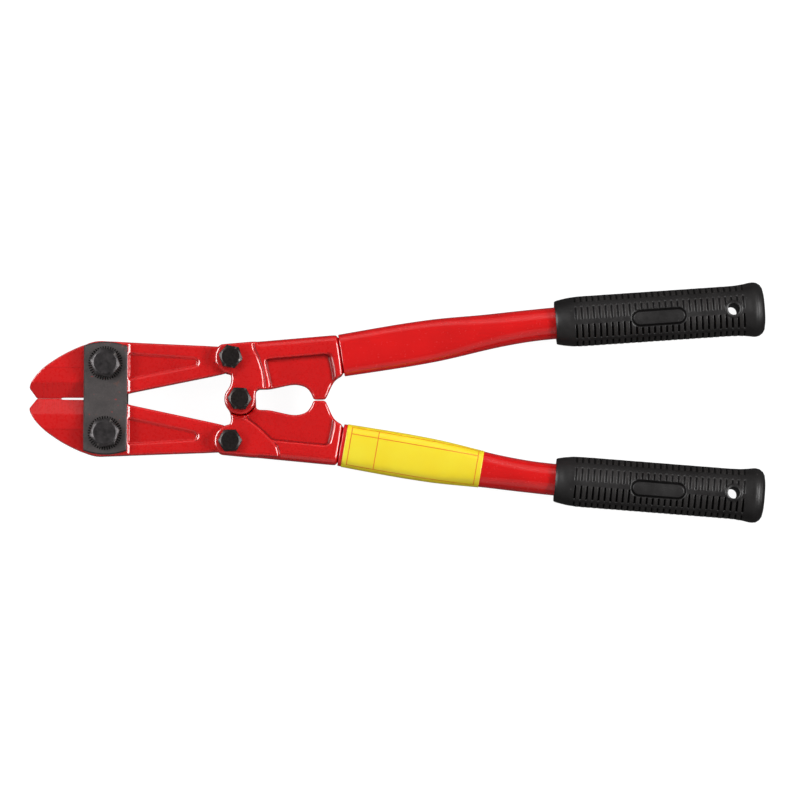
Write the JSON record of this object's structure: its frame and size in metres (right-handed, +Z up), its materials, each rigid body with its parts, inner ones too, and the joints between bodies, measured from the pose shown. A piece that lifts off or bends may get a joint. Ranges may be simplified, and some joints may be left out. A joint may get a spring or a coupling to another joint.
{
  "type": "bolt cutters",
  "caption": "Hand bolt cutters with compound lever heads, bevelled cutting jaws pivoting between cover plates, tubular handles and ribbed black grips with hanging holes.",
  "frame": {"origin": "middle of the tool's length and width, on the plane it lies on", "axes": "+X from the jaws to the handle ends, +Y from the lower to the upper handle, +Z up out of the face with the bolt heads"},
  "size_m": [0.3808, 0.125, 0.0286],
  "materials": {
    "red_enamel": "thick glossy red enamel on forged steel",
    "red_enamel_tube": "glossy red enamel on steel tube",
    "black_grip": "matt black ribbed sleeve",
    "grey_plate": "dark grey surface-treated steel",
    "dark_steel": "dark hardened steel",
    "black_oxide": "black oxide steel",
    "yellow_label": "printed film, left without wording"
  },
  "bodies": {
    "lower_handle": {"lower_lever_head": "red_enamel", "lower_handle_tube": "red_enamel_tube", "lower_grip": "black_grip", "handle_label": "yellow_label", "lower_link_bolt": "black_oxide", "lower_link_nut": "black_oxide", "lower_link_washer": "black_oxide", "centre_bolt": "black_oxide", "centre_nut": "black_oxide", "centre_washer": "black_oxide"},
    "upper_handle": {"upper_lever_head": "red_enamel", "upper_handle_tube": "red_enamel_tube", "upper_grip": "black_grip", "upper_link_bolt": "black_oxide", "upper_link_nut": "black_oxide", "upper_link_washer": "black_oxide"},
    "lower_jaw": {"lower_jaw": "red_enamel"},
    "cover_plates": {"front_cover_plate": "grey_plate", "rear_cover_plate": "grey_plate", "upper_jaw_bolt": "dark_steel", "lower_jaw_bolt": "dark_steel", "upper_jaw_nut": "dark_steel", "lower_jaw_nut": "dark_steel", "upper_jaw_washer": "dark_steel", "lower_jaw_washer": "dark_steel"},
    "upper_jaw": {"upper_jaw": "red_enamel"}
  },
  "joints": [
    {"name": "handles_open", "type": "hinge", "parent": "lower_handle", "child": "upper_handle", "pos_m": [-0.08139, 0, 0.0143], "axis": [0, 0, 1], "range_deg": [0, 80]},
    {"name": "lower_link", "type": "hinge", "parent": "lower_handle", "child": "lower_jaw", "pos_m": [-0.08619, -0.0217, 0.0143], "axis": [0, 0, 1], "range_deg": [0, 46.53]},
    {"name": "lower_jaw_pivot", "type": "hinge", "parent": "lower_jaw", "child": "cover_plates", "pos_m": [-0.15089, -0.0181, 0.0143], "axis": [0, 0, 1], "range_deg": [-6.53, 0]},
    {"name": "upper_jaw_pivot", "type": "hinge", "parent": "cover_plates", "child": "upper_jaw", "pos_m": [-0.15089, 0.0181, 0.0143], "axis": [0, 0, 1], "range_deg": [-6.53, 0]}
  ],
  "couplings": [
    {"joint": "lower_link", "follows": "handles_open", "ratio": 0.5816},
    {"joint": "lower_jaw_pivot", "follows": "handles_open", "ratio": -0.0816},
    {"joint": "upper_jaw_pivot", "follows": "handles_open", "ratio": -0.0816}
  ]
}
